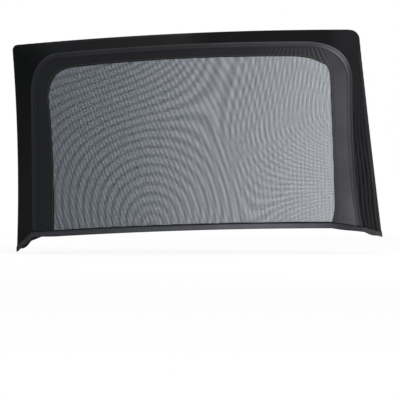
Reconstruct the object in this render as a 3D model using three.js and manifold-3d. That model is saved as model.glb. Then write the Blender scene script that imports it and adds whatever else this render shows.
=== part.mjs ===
// Pull-over mesh shade for the window of a car's rear door.
// A flat sleeve of stretch mesh, open along its lower edge, is drawn down over the door's window frame.
// It is modelled as it sits when worn: upright, stretched, and with no door inside it.
//
// Millimetres. X runs to the rear of the car, Z is up, and Y runs from the cabin to the street.
// The origin is under the middle of the shade, level with the lowest point of its hem.

import * as THREE from "three";
import { mergeVertices } from "three/addons/utils/BufferGeometryUtils.js";
import Module from "manifold-3d";

const wasm = await Module();
wasm.setup();

// Outer edge, seen square on. Heights are from the lowest point of the hem.
const frontReach = 476; // middle to the front edge, at the hem
const rearReach = 482; // middle to the rear edge, at the hem
const frontFlare = 8; // the front edge leans out by this at its top
const frontWaist = 8; // and is drawn in by this on the way
const rearRake = 60; // the rear edge leans in by this at its top
const frontHeight = 541; // to the front end of the roof line
const roofHeight = 580; // to the rear end of the roof line
const frontCorner = 16; // how far the front top corner's rounding reaches
const rearCorner = 34; // the same at the rear top corner

// Sloping wall between the outer edge and the ridge, as wide as it looks square on.
const frontSlope = 46;
const roofSlope = 31;
const rearSlope = 55;
const rearSlopeTop = 22;
const edgeRadius = 12; // roll of the outer edge
const frontRidgeCorner = 88; // how far the ridge's front top rounding reaches
const rearRidgeCorner = 128; // the same at the rear top

// Close-knit band between the ridge and the see-through field.
const frontBand = 56;
const frontBandTop = 46;
const roofBand = 36;
const roofBandRear = 41;
const rearBand = 56;
const rearBandHem = 80;
const frontFieldCorner = 84;
const rearFieldCorner = 68;
const rearFieldDip = 18; // the field's top edge comes down by this before its rear corner
const rearFieldDipLength = 105;
const rearFieldRound = 23; // how far the rounding of that corner runs along the top
const rearFieldTuck = 8; // the field narrows by this towards the hem, at the rear

// Section from front to back: the walls stand straight above the hem, then lean in with the door frame.
const hemDepth = 76; // cabin face to street face at the hem
const roofDepth = 50; // the same at the roof
const straightHeight = 100; // the walls stand straight up to this height
const leanRadius = 2500; // above it they follow this radius

// Hem: a folded tape around the mouth, with the elastic inside it.
const hemHeight = 14;
const frontHemDrop = 40; // the hem comes down by this over the front wall
const rearHemDrop = 14; // and by this over the rear wall
const hemCrown = 25; // the hem's rise from its front ridge to its highest point, on the cabin side
const rearHemFall = 12; // its fall from there to the rear ridge
const earLength = 50; // on the street side the hem climbs from each drop over this length
const hemLap = 5; // how far the panels reach into the hem
const elasticWidth = 7;
const elasticThickness = 1;

// Cloth, seams and trim.
const cloth = 0.8; // thickness of every cloth, tape and net
const clearance = 0.3; // between pieces that lie on each other
const netLap = 10; // how far each net runs on behind its band
const netColumns = 12; // the nets' fine mesh is drawn as a plain grid with this many openings across
const netRows = 7;
const netRowPitch = 62;
const netRim = 8; // left closed beside the band and above the hem
const cabinBar = 22; // between the openings of the cabin net, which is the closer of the two
const streetBar = 12;
const lowestBar = 120; // height of the bar above the lowest row of openings
const weltWidth = 13; // doubled welt on the ridge
const weltHeight = 2.6;
const bindingWidth = 12;
const bindingOverlap = 2; // the part of it that lies on the rolled edge
const threadWidth = 1;
const threadHeight = 0.5;
const bandStitch = 3; // from the edge of the field
const hemStitch = 3; // from the upper edge of the hem

// Fineness of the facets.
const leanSteps = 12;
const curveSteps = 10; // along each long curve
const turnSteps = 6; // beside the rounding of a top corner
const roundSteps = 4; // around the rounding itself
const slopeSteps = 3; // across the sloping wall
const arcSteps = 6; // around the rolled edge
const cordSteps = 4; // over each cord of the welt
const cutMargin = 50; // how far a cutting prism stands clear of what it cuts

// Points of the outer edge, as x and height.
const point = (x, z) => new THREE.Vector2(x, z);
const frontHemZ = hemHeight + frontHemDrop; // top of the hem at the front ridge
const crownX = rearReach - rearSlope - rearBandHem; // where the hem stands highest
const crownZ = frontHemZ + hemCrown;
const rearHemZ = crownZ - rearHemFall; // top of the hem at the rear ridge
const edgeFrontHem = point(-frontReach, hemHeight);
const edgeFrontTop = point(-frontReach - frontFlare, frontHeight - frontCorner);
const edgeRoofFront = point(edgeFrontTop.x + frontCorner, frontHeight);
const edgeRearTop = point(rearReach - rearRake, roofHeight - rearCorner);
const edgeRoofRear = point(edgeRearTop.x - rearCorner, roofHeight);
const edgeRearHem = point(rearReach, rearHemZ - rearHemDrop);
const roofCrest = point((edgeRoofFront.x + edgeRoofRear.x) / 2, roofHeight);

// Points of the ridge.
const ridgeFrontHem = point(-frontReach + frontSlope, frontHemZ);
const ridgeFrontX = edgeFrontTop.x + frontSlope + frontWaist / 2;
const ridgeRoofFront = point(ridgeFrontX + frontRidgeCorner, frontHeight + frontCorner / 2 - roofSlope);
const ridgeFrontTop = point(ridgeFrontX, ridgeRoofFront.y - frontRidgeCorner - frontSlope / 2);
const ridgeRearX = edgeRearTop.x - rearSlopeTop;
const ridgeRoofRear = point(ridgeRearX - rearRidgeCorner, roofHeight - roofSlope);
const ridgeRearTop = point(ridgeRearX, ridgeRoofRear.y - rearRidgeCorner + rearSlopeTop);
const ridgeRearHem = point(rearReach - rearSlope, rearHemZ);
const ridgeRearWaist = point(ridgeRearX, (ridgeRearTop.y + ridgeRearHem.y) / 2 - rearSlope);

// Where the edge is matched to the corners of the ridge, so that the sloping wall fans around them.
const edgeFrontSide = new THREE.QuadraticBezierCurve(
  edgeFrontHem,
  point(-frontReach + frontWaist, (edgeFrontHem.y + edgeFrontTop.y) / 2),
  edgeFrontTop,
);
const edgeFrontRound = new THREE.QuadraticBezierCurve(
  edgeFrontTop,
  point(edgeFrontTop.x, frontHeight),
  edgeRoofFront,
);
const edgeRoof = new THREE.QuadraticBezierCurve(edgeRoofFront, roofCrest, edgeRoofRear);
const edgeRearRound = new THREE.QuadraticBezierCurve(
  edgeRoofRear,
  point(edgeRearTop.x, roofHeight),
  edgeRearTop,
);
const edgeRearSide = new THREE.LineCurve(edgeRearTop, edgeRearHem);

const ridgeFrontSide = new THREE.LineCurve(ridgeFrontHem, ridgeFrontTop);
const ridgeFrontRound = new THREE.QuadraticBezierCurve(
  ridgeFrontTop,
  point(ridgeFrontX, ridgeRoofFront.y - cloth),
  ridgeRoofFront,
);
const ridgeRoof = new THREE.QuadraticBezierCurve(
  ridgeRoofFront,
  point((ridgeRoofFront.x + ridgeRoofRear.x) / 2, ridgeRoofRear.y),
  ridgeRoofRear,
);
const ridgeRearRound = new THREE.QuadraticBezierCurve(
  ridgeRoofRear,
  point(ridgeRearX, ridgeRoofRear.y),
  ridgeRearTop,
);
const ridgeRearSide = new THREE.QuadraticBezierCurve(ridgeRearTop, ridgeRearWaist, ridgeRearHem);

// Each stretch of the wall pairs a length of the ridge with a length of the edge.
const frontTurn = 0.8; // share of the front edge that stands beside the ridge's straight part
const roofTurn = 0.14; // share of the roof line that belongs to the front corner
const roofReturn = 0.87; // share of it at which the rear corner begins
const rearTurn = 0.2; // share of the rear edge that belongs to the rear corner
const pairing = (ridge, ridgeSpan, edge, edgeSpan, steps) => ({ ridge, ridgeSpan, edge, edgeSpan, steps });
const stretches = [
  pairing(ridgeFrontSide, [0, 1], edgeFrontSide, [0, frontTurn], curveSteps),
  pairing(ridgeFrontRound, [0, 0.42], edgeFrontSide, [frontTurn, 1], turnSteps),
  pairing(ridgeFrontRound, [0.42, 0.58], edgeFrontRound, [0, 1], roundSteps),
  pairing(ridgeFrontRound, [0.58, 1], edgeRoof, [0, roofTurn], turnSteps),
  pairing(ridgeRoof, [0, 1], edgeRoof, [roofTurn, roofReturn], curveSteps),
  pairing(ridgeRearRound, [0, 0.4], edgeRoof, [roofReturn, 1], turnSteps),
  pairing(ridgeRearRound, [0.4, 0.6], edgeRearRound, [0, 1], roundSteps),
  pairing(ridgeRearRound, [0.6, 1], edgeRearSide, [0, rearTurn], turnSteps),
  pairing(ridgeRearSide, [0, 1], edgeRearSide, [rearTurn, 1], curveSteps),
];

// The two faces of the sleeve, as a distance along Y for each height.
const aboveStraight = (z) => Math.max(0, z - straightHeight);
const lean = (z) => -(aboveStraight(z) ** 2) / (2 * leanRadius);
const depthAt = (z) =>
  hemDepth + ((roofDepth - hemDepth) * aboveStraight(z)) / (roofHeight - straightHeight);
const cabinY = (z) => lean(z) - depthAt(z) / 2;
const streetY = (z) => lean(z) + depthAt(z) / 2;

// A point of a matched pair and the direction from the ridge to the edge.
function station(ridge, edge) {
  const across = edge.clone().sub(ridge);
  return { ridge, edge, width: across.length(), out: across.normalize() };
}

function wallStations() {
  const stations = [station(ridgeFrontHem, edgeFrontHem)];
  for (const { ridge, ridgeSpan, edge, edgeSpan, steps } of stretches) {
    for (let i = 1; i <= steps; i++) {
      const along = (span) => THREE.MathUtils.lerp(span[0], span[1], i / steps);
      stations.push(station(ridge.getPoint(along(ridgeSpan)), edge.getPoint(along(edgeSpan))));
    }
  }
  return stations;
}

const stations = wallStations();

// The first or last station, moved on along the wall by a distance: up is positive.
function shifted(end, next, distance) {
  const slide = (from, to) => from.clone().addScaledVector(to.clone().sub(from).normalize(), distance);
  return station(slide(end.ridge, next.ridge), slide(end.edge, next.edge));
}

// All stations, with the two ends moved by a distance along the wall.
function stationsFrom(distance) {
  const last = stations.length - 1;
  const all = stations.slice(1, last);
  all.unshift(shifted(stations[0], stations[1], distance));
  all.push(shifted(stations[last], stations[last - 1], distance));
  return all;
}

// A point beside the ridge, in the plane of the drawing.
const beside = ({ ridge, out }, distance) => ridge.clone().addScaledVector(out, distance);
const toSpace = (flat, y) => new THREE.Vector3(flat.x, y, flat.y);

// One row of the wall, from the ridge over the slope and around the rolled edge to the street face.
// The row lies a distance outside the cloth's outer surface.
function wallRow(at, outside) {
  const seam = at.width - edgeRadius;
  const ridgeY = cabinY(at.ridge.y);
  const centreY = streetY(beside(at, seam).y) - edgeRadius;
  const reach = Math.hypot(seam, centreY - ridgeY);
  const slope = Math.atan2(centreY - ridgeY, seam) - Math.asin(edgeRadius / reach);
  const flatLength = Math.sqrt(reach ** 2 - edgeRadius ** 2);
  const row = [];
  for (let i = 0; i < slopeSteps; i++) {
    const along = (flatLength * i) / slopeSteps;
    const across = Math.cos(slope) * along + Math.sin(slope) * outside;
    const y = ridgeY + Math.sin(slope) * along - Math.cos(slope) * outside;
    row.push(toSpace(beside(at, across), y));
  }
  for (let i = 0; i <= arcSteps; i++) {
    const angle = THREE.MathUtils.lerp(slope - Math.PI / 2, Math.PI / 2, i / arcSteps);
    const across = seam + Math.cos(angle) * (edgeRadius + outside);
    const y = centreY + Math.sin(angle) * (edgeRadius + outside);
    row.push(toSpace(beside(at, across), y));
  }
  return row;
}

// A closed sheet between two grids of points: rows run across it, and a ring joins its last row to its first.
function sheet(outer, inner, ring = false) {
  const across = outer[0].length;
  const rows = outer.length;
  const points = [...outer.flat(), ...inner.flat()];
  const outerAt = (i, j) => (i % rows) * across + j;
  const innerAt = (i, j) => rows * across + outerAt(i, j);
  const faces = [];
  const quad = (a, b, c, d) => faces.push([a, b, c], [a, c, d]);
  for (let i = 0; i < (ring ? rows : rows - 1); i++) {
    for (let j = 0; j < across - 1; j++) {
      quad(outerAt(i, j), outerAt(i + 1, j), outerAt(i + 1, j + 1), outerAt(i, j + 1));
      quad(innerAt(i, j), innerAt(i, j + 1), innerAt(i + 1, j + 1), innerAt(i + 1, j));
    }
    const end = across - 1;
    quad(outerAt(i, 0), innerAt(i, 0), innerAt(i + 1, 0), outerAt(i + 1, 0));
    quad(outerAt(i, end), outerAt(i + 1, end), innerAt(i + 1, end), innerAt(i, end));
  }
  if (!ring) {
    for (let j = 0; j < across - 1; j++) {
      const last = rows - 1;
      quad(outerAt(0, j), outerAt(0, j + 1), innerAt(0, j + 1), innerAt(0, j));
      quad(outerAt(last, j), innerAt(last, j), innerAt(last, j + 1), outerAt(last, j + 1));
    }
  }
  const sixVolumes = (sum, [a, b, c]) => sum + points[a].dot(points[b].clone().cross(points[c]));
  const turned = faces.reduce(sixVolumes, 0) < 0;
  const geometry = new THREE.BufferGeometry().setFromPoints(points);
  geometry.setIndex(faces.flatMap(([a, b, c]) => (turned ? [a, c, b] : [a, b, c])));
  return geometry;
}

// A geometry as a solid that can be joined and cut, and back.
function toSolid(geometry) {
  const bare = geometry.clone();
  bare.deleteAttribute("normal");
  bare.deleteAttribute("uv");
  const merged = mergeVertices(bare);
  const vertProperties = new Float32Array(merged.attributes.position.array);
  const triVerts = new Uint32Array(merged.index.array);
  return new wasm.Manifold(new wasm.Mesh({ numProp: 3, vertProperties, triVerts }));
}

function toGeometry(solid) {
  const { vertProperties, triVerts } = solid.getMesh();
  const geometry = new THREE.BufferGeometry();
  geometry.setAttribute("position", new THREE.BufferAttribute(new Float32Array(vertProperties), 3));
  geometry.setIndex(Array.from(triVerts));
  return geometry;
}

// One or more outlines drawn in x and height, carried through the whole depth of the shade.
function throughDepth(outline) {
  const depth = hemDepth + roofHeight;
  const geometry = new THREE.ExtrudeGeometry(outline, { depth: 2 * depth, bevelEnabled: false });
  return geometry.rotateX(Math.PI / 2).translate(0, depth, 0);
}

// A layer of cloth that follows one face of the sleeve, cut to an outline.
function panel(outline, face, depthInside) {
  const heights = [-cutMargin];
  for (let i = 0; i <= leanSteps; i++) {
    heights.push(THREE.MathUtils.lerp(straightHeight, roofHeight, i / leanSteps));
  }
  const surface = (offset) => heights.map((z) => point(face.y(z) + face.inward * offset, z));
  const section = [...surface(depthInside), ...surface(depthInside + cloth).reverse()];
  const reach = frontReach + rearReach;
  const run = { depth: 2 * reach, bevelEnabled: false };
  const layer = new THREE.ExtrudeGeometry(new THREE.Shape(section), run);
  const toXYZ = new THREE.Matrix4().makeBasis(
    new THREE.Vector3(0, 1, 0),
    new THREE.Vector3(0, 0, 1),
    new THREE.Vector3(1, 0, 0),
  );
  layer.applyMatrix4(toXYZ).translate(-reach, 0, 0);
  return toGeometry(toSolid(layer).intersect(toSolid(throughDepth(outline))));
}

// Upper edge of the hem on the cabin side, from the front ridge to the rear ridge.
const crown = point(crownX, crownZ);
const cabinHem = new THREE.CurvePath();
const cabinRise = point((ridgeFrontHem.x + crownX) / 2, crownZ);
cabinHem.add(new THREE.QuadraticBezierCurve(ridgeFrontHem, cabinRise, crown));
cabinHem.add(new THREE.LineCurve(crown, ridgeRearHem));

// And on the street side, where it climbs from both drops to stand level with the cabin side.
const streetSeamAt = (at) => at.width - edgeRadius;
const streetSeam = (at) => beside(at, streetSeamAt(at));
const streetFront = streetSeam(stations[0]);
const streetRear = streetSeam(stations.at(-1));
const climbFront = point(streetFront.x + earLength, hemTop(cabinHem, streetFront.x + earLength));
const climbRear = point(streetRear.x - earLength, hemTop(cabinHem, streetRear.x - earLength));
const streetRise = point((climbFront.x + crownX) / 2, crownZ);
const bend = (from, to) => {
  const half = (from.x + to.x) / 2;
  return new THREE.CubicBezierCurve(from, point(half, from.y), point(half, to.y), to);
};
const streetHem = new THREE.CurvePath();
streetHem.add(bend(streetFront, climbFront));
streetHem.add(new THREE.QuadraticBezierCurve(climbFront, streetRise, crown));
streetHem.add(new THREE.LineCurve(crown, climbRear));
streetHem.add(bend(climbRear, streetRear));

// The two faces: where they stand, which way along Y is into the sleeve, their hems and their nets' bars.
const cabinFace = { y: cabinY, inward: 1, hem: cabinHem, bar: cabinBar };
const streetFace = { y: streetY, inward: -1, hem: streetHem, bar: streetBar };

// Height of a hem's upper edge under a place on its face.
function hemTop(hemCurve, x) {
  const line = hemCurve.getPoints(curveSteps);
  const passed = line.filter((p) => p.x < x).length;
  const after = THREE.MathUtils.clamp(passed, 1, line.length - 1);
  const [a, b] = [line[after - 1], line[after]];
  return THREE.MathUtils.mapLinear(x, a.x, b.x, a.y, b.y);
}

// A panel's outline: its three upper sides from points, its lower side inside the hem.
function outlineOverHem(sides, hemCurve) {
  const inHem = (x) => point(x, hemTop(hemCurve, x) - hemLap);
  const first = sides[0].x;
  const last = sides.at(-1).x;
  const between = (p) => p.x > first + clearance && p.x < last - clearance;
  const lower = hemCurve.getPoints(curveSteps).filter(between).map((p) => inHem(p.x)).reverse();
  return new THREE.Shape([inHem(first), ...sides.slice(1, -1), inHem(last), ...lower]);
}

// The field's three upper sides, grown outwards by a distance.
function fieldSides(grow) {
  const front = ridgeFrontHem.x + frontBand - grow;
  const frontTop = ridgeFrontX + frontBandTop - grow;
  const roofFront = ridgeRoofFront.y - roofBand + grow;
  const roofRear = ridgeRoofRear.y - roofBandRear + grow;
  const rear = ridgeRearX - rearBand + grow;
  const rearHem = ridgeRearHem.x - rearBandHem + grow;
  const dipZ = roofRear - rearFieldDip;
  const dipStart = rear - rearFieldDipLength;
  const waistZ = (ridgeRearTop.y + straightHeight) / 2;
  const sides = new THREE.Path();
  sides.moveTo(front, frontHemZ - hemLap);
  sides.quadraticCurveTo(front, waistZ, frontTop, roofFront - frontFieldCorner);
  sides.quadraticCurveTo(frontTop, roofFront, frontTop + frontFieldCorner, roofFront);
  sides.quadraticCurveTo((frontTop + dipStart) / 2, roofRear, dipStart, roofRear);
  sides.quadraticCurveTo((dipStart + rear) / 2, roofRear, rear - rearFieldRound, dipZ);
  sides.quadraticCurveTo(rear, dipZ, rear, dipZ - rearFieldCorner);
  sides.quadraticCurveTo(rear + rearFieldTuck, waistZ, rearHem + rearFieldTuck, straightHeight + hemCrown);
  sides.quadraticCurveTo(rearHem + rearFieldTuck, straightHeight, rearHem, crownZ - hemLap);
  return sides.getPoints(curveSteps);
}

// Where two panels and the wall meet, each panel stops short by the cloth's thickness and the clearance.
const panelGap = cloth + clearance;

function cabinOutline() {
  return outlineOverHem(stationsFrom(-hemLap).map((at) => beside(at, -panelGap)), cabinHem);
}

function streetOutline() {
  const beforeSeam = (at) => beside(at, at.width - edgeRadius - clearance);
  return outlineOverHem(stationsFrom(-hemLap).map(beforeSeam), streetHem);
}

function bandOf(outline, face) {
  const whole = toSolid(panel(outline, face, 0));
  const sides = fieldSides(0);
  const below = [sides.at(-1), sides[0]].map((p) => point(p.x, -cutMargin));
  const field = new THREE.Shape([...sides, ...below]);
  return toGeometry(whole.subtract(toSolid(throughDepth(field))));
}

// The part of the field that may open, clear of its rim and of the hem.
function openField() {
  const sides = fieldSides(-netRim);
  const overHem = (p) => point(p.x, crownZ + netRim);
  return new THREE.Shape([overHem(sides[0]), ...sides.slice(1, -1), overHem(sides.at(-1))]);
}

// The openings of a net, as nearly square cells with bars between them.
function netCells(bar) {
  const sides = fieldSides(-netRim);
  const columnPitch = (sides.at(-1).x - sides[0].x) / netColumns;
  const cells = [];
  for (let column = 0; column < netColumns; column++) {
    for (let row = 0; row < netRows; row++) {
      const left = sides[0].x + column * columnPitch + bar / 2;
      const right = left + columnPitch - bar;
      const low = lowestBar + (row - 1) * netRowPitch + bar / 2;
      const high = low + netRowPitch - bar;
      const corners = [point(left, low), point(right, low), point(right, high), point(left, high)];
      cells.push(new THREE.Shape(corners));
    }
  }
  return cells;
}

function netOf(face) {
  const whole = toSolid(panel(outlineOverHem(fieldSides(netLap), face.hem), face, panelGap));
  const openings = toSolid(throughDepth(netCells(face.bar))).intersect(toSolid(throughDepth(openField())));
  return toGeometry(whole.subtract(openings));
}

// The sloping wall, from the ridge over the outer edge to the street face.
function sideWall() {
  const all = stationsFrom(-hemLap);
  return sheet(all.map((at) => wallRow(at, 0)), all.map((at) => wallRow(at, -cloth)));
}

// A trim that runs along the wall: its profile gives distances across a seam and heights above the cloth.
// Where it lies on the panel, its two ends stand on the hem.
function trimAlongWall(profile, seam, face) {
  const all = stationsFrom(clearance);
  const rows = (side) =>
    all.map((at, i) =>
      profile.map((spot) => {
        const flat = beside(at, seam(at) + spot.across);
        const isEnd = i === 0 || i === all.length - 1;
        if (isEnd && spot.across < 0) flat.y = hemTop(face.hem, flat.x) + clearance;
        return toSpace(flat, face.y(flat.y) - face.inward * spot[side]);
      }),
    );
  return sheet(rows("top"), rows("base"));
}

// Two cords side by side in one folded tape.
function ridgeWelt() {
  const cord = weltHeight - cloth;
  const profile = [];
  for (const centre of [-weltWidth + cord, -cord]) {
    for (let i = 0; i <= cordSteps; i++) {
      const angle = (Math.PI * i) / cordSteps;
      const rise = cord * Math.sin(angle);
      const across = centre - cord * Math.cos(angle);
      profile.push({ across, base: clearance, top: clearance + cloth + rise });
    }
  }
  return trimAlongWall(profile, () => 0, cabinFace);
}

function seamBinding() {
  const profile = [bindingOverlap - bindingWidth, 0, bindingOverlap].map((across) => ({
    across,
    base: clearance,
    top: clearance + cloth,
  }));
  return trimAlongWall(profile, streetSeamAt, streetFace);
}

function bindingThread() {
  const middle = bindingOverlap - bindingWidth / 2;
  const base = 2 * clearance + cloth;
  const profile = [middle - threadWidth / 2, middle + threadWidth / 2].map((across) => ({
    across,
    base,
    top: base + threadHeight,
  }));
  return trimAlongWall(profile, streetSeamAt, streetFace);
}

// The row of stitches that holds the band on the net, as one thread beside the field.
function bandThread() {
  const inner = fieldSides(bandStitch);
  const outer = fieldSides(bandStitch + threadWidth);
  const lift = (flat) => point(flat.x, Math.max(flat.y, hemTop(cabinHem, flat.x) + clearance));
  const rowAt = (i, offset) => [inner[i], outer[i]].map(lift).map((p) => toSpace(p, cabinY(p.y) - offset));
  const rows = (offset) => inner.map((_, i) => rowAt(i, offset));
  return sheet(rows(clearance + threadHeight), rows(clearance));
}

// The hem's upper edge, once around: its spots, and how far the wall there leans for each mm of height.
function hemLoop() {
  const slope = (from, to) => (to.x - from.x) / (to.y - from.y);
  const wall = (end, next) => {
    const ridgeLean = slope(end.ridge, next.ridge);
    const edgeLean = slope(end.edge, next.edge);
    return wallRow(end, 0).map((spot) => {
      const share = (spot.x - end.ridge.x) / (end.edge.x - end.ridge.x);
      return { spot, lean: THREE.MathUtils.lerp(ridgeLean, edgeLean, Math.min(1, share)) };
    });
  };
  const upright = (spot) => ({ spot, lean: 0 });
  const flat = (curve, y) => curve.getPoints(curveSteps).slice(1, -1).map((p) => upright(toSpace(p, y)));
  const front = wall(stations[0], stations[1]);
  const rear = wall(stations.at(-1), stations.at(-2));
  const cabin = flat(cabinHem, cabinY(0));
  const street = flat(streetHem, streetY(0)).reverse();
  return [...cabin, ...rear, ...street, ...front.reverse()];
}

// A closed band around the mouth. Its section is two rows of spots: distance outside the walls and height.
function aroundMouth(topRow, baseRow) {
  const loop = hemLoop();
  const inPlan = (spot) => new THREE.Vector2(spot.x, spot.y);
  const turn = (from, to) => {
    const way = inPlan(to).sub(inPlan(from)).normalize();
    return new THREE.Vector2(way.y, -way.x);
  };
  const ringAt = (row) =>
    loop.map(({ spot, lean: tilt }, i) => {
      const before = turn(loop.at(i - 1).spot, spot);
      const after = turn(spot, loop[(i + 1) % loop.length].spot);
      const out = before.clone().add(after);
      out.multiplyScalar(2 / out.lengthSq());
      return row.map(
        ([outside, up]) =>
          new THREE.Vector3(spot.x + out.x * outside + tilt * up, spot.y + out.y * outside, spot.z + up),
      );
    });
  return sheet(ringAt(topRow), ringAt(baseRow), true);
}

// The channel holds two layers of cloth and a clearance on each side of them.
const channelOut = clearance;
const channelIn = -(2 * cloth + 2 * clearance);
const channelFloor = cloth - hemHeight;

function hemCasing() {
  const fold = [
    [channelOut + cloth, 0],
    [channelOut + cloth, -hemHeight],
    [channelIn - cloth, -hemHeight],
    [channelIn - cloth, 0],
  ];
  const lining = [
    [channelOut, 0],
    [channelOut, channelFloor],
    [channelIn, channelFloor],
    [channelIn, 0],
  ];
  return aroundMouth(fold, lining);
}

function hemElastic() {
  const middle = (channelOut + channelIn) / 2;
  const low = channelFloor + clearance;
  const face = (outside) => [
    [outside, low],
    [outside, low + elasticWidth],
  ];
  return aroundMouth(face(middle + elasticThickness / 2), face(middle - elasticThickness / 2));
}

function hemThread() {
  const base = channelOut + cloth + clearance;
  const face = (outside) => [
    [outside, -hemStitch - threadWidth / 2],
    [outside, -hemStitch + threadWidth / 2],
  ];
  return aroundMouth(face(base + threadHeight), face(base));
}

// Materials: knitted polyester throughout, matt, in near-black charcoal.
const cloths = {
  net: new THREE.MeshStandardMaterial({ color: "#3a3e42", roughness: 0.8, metalness: 0 }),
  band: new THREE.MeshStandardMaterial({ color: "#2f2e32", roughness: 0.85, metalness: 0 }),
  wall: new THREE.MeshStandardMaterial({ color: "#1b1b1e", roughness: 0.85, metalness: 0 }),
  tape: new THREE.MeshStandardMaterial({ color: "#232327", roughness: 0.75, metalness: 0 }),
  elastic: new THREE.MeshStandardMaterial({ color: "#1a1a1c", roughness: 0.9, metalness: 0 }),
  thread: new THREE.MeshStandardMaterial({ color: "#2a2a2e", roughness: 0.6, metalness: 0 }),
};
cloths.net.transparent = true;
cloths.net.opacity = 0.55;

const shade = new THREE.Group();

function addPiece(name, geometry, material) {
  const piece = new THREE.Mesh(geometry, material);
  piece.name = name;
  piece.geometry.computeVertexNormals();
  shade.add(piece);
}

addPiece("cabin_net", netOf(cabinFace), cloths.net);
addPiece("cabin_band", bandOf(cabinOutline(), cabinFace), cloths.band);
addPiece("band_thread", bandThread(), cloths.thread);
addPiece("ridge_welt", ridgeWelt(), cloths.tape);
addPiece("side_wall", sideWall(), cloths.wall);
addPiece("street_net", netOf(streetFace), cloths.net);
addPiece("street_band", bandOf(streetOutline(), streetFace), cloths.band);
addPiece("seam_binding", seamBinding(), cloths.tape);
addPiece("binding_thread", bindingThread(), cloths.thread);
addPiece("hem_casing", hemCasing(), cloths.tape);
addPiece("hem_elastic", hemElastic(), cloths.elastic);
addPiece("hem_thread", hemThread(), cloths.thread);

// The walls were drawn about the middle of the hem, so the whole shade moves to stand over the origin.
const reach = new THREE.Box3().setFromObject(shade);
const middle = reach.getCenter(new THREE.Vector3());
shade.position.set(-middle.x, -middle.y, -reach.min.z);

export default shade;
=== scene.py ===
import math

import bpy
import numpy as np
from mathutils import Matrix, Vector


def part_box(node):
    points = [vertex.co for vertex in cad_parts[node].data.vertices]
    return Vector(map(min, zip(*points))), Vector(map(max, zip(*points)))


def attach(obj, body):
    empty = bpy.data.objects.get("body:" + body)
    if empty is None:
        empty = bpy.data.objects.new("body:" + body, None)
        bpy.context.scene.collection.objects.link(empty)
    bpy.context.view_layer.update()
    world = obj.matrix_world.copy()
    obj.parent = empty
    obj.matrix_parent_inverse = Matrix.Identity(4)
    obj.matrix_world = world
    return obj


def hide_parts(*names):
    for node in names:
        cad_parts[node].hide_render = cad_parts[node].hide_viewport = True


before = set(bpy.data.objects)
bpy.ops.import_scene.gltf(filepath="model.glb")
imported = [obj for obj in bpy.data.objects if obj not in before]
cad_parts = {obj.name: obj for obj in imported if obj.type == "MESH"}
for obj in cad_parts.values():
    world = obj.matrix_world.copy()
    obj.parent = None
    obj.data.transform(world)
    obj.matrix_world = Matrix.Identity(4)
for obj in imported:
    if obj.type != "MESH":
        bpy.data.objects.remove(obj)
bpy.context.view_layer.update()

# Pull-over mesh shade for a car's rear side window, in the shape that it has when worn.
# X runs to the rear of the car, Y from the cabin to the street, Z is up. Sizes below are in millimetres.
mm = 0.001

outline = {  # seen square on; heights are from the lowest point of the hem
    "frontReach": 476, "rearReach": 482,
    "frontFlare": 8, "frontWaist": 8, "rearRake": 60,
    "frontHeight": 541, "roofHeight": 580,
    "frontCorner": 16, "rearCorner": 34,
    "frontSlope": 46, "roofSlope": 31, "roofSlopeRear": 34, "rearSlope": 55, "rearSlopeTop": 22,
    "frontRidgeCorner": 88, "rearRidgeCorner": 128,
    "frontBand": 56, "frontBandTop": 46, "roofBand": 36, "roofBandRear": 38,
    "rearBand": 56, "rearBandHem": 80,
    "frontFieldCorner": 84, "rearFieldCorner": 68, "rearFieldDip": 18,
    "rearFieldDipLength": 105, "rearFieldRound": 23, "rearFieldTuck": 8,
    "streetFieldWider": 6,
}
section = {  # from the cabin to the street
    "hemDepth": 76, "roofDepth": 50, "straightHeight": 100, "leanRadius": 2500,
    "edgeRadius": 12, "cloth": 0.8, "clearance": 0.3,
}
hem = {
    "height": 14, "frontDrop": 40, "rearDrop": 14, "crown": 25, "rearFall": 12,
    "earLength": 50, "lap": 5, "sag": 0.2,
}


# Flat curves, as arrays of x and height

def bezier(*points, count=60):
    t = np.linspace(0, 1, count)[:, None]
    layers = [np.array(p, float) for p in points]
    while len(layers) > 1:
        layers = [a + (b - a) * t for a, b in zip(layers, layers[1:])]
    return layers[0]


def joined(*paths):
    parts = [paths[0]] + [path[1:] for path in paths[1:]]
    return np.concatenate(parts)


def resampled(path, count):
    steps = np.linalg.norm(np.diff(path, axis=0), axis=1)
    length = np.concatenate([[0], np.cumsum(steps)])
    at = np.linspace(0, length[-1], count)
    return np.stack([np.interp(at, length, path[:, k]) for k in range(path.shape[1])], axis=1)


def lengthAlong(path):
    return np.cumsum(np.linalg.norm(np.diff(path, axis=0, prepend=path[:1]), axis=1))


def portion(path, start, end):
    count = len(path)
    at = np.linspace(start, end, 80) * (count - 1)
    return np.stack([np.interp(at, np.arange(count), path[:, k]) for k in range(2)], axis=1)


o = outline
frontHemZ = hem["height"] + hem["frontDrop"]
crownX = o["rearReach"] - o["rearSlope"] - o["rearBandHem"]
crownZ = frontHemZ + hem["crown"]
rearHemZ = crownZ - hem["rearFall"]

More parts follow.
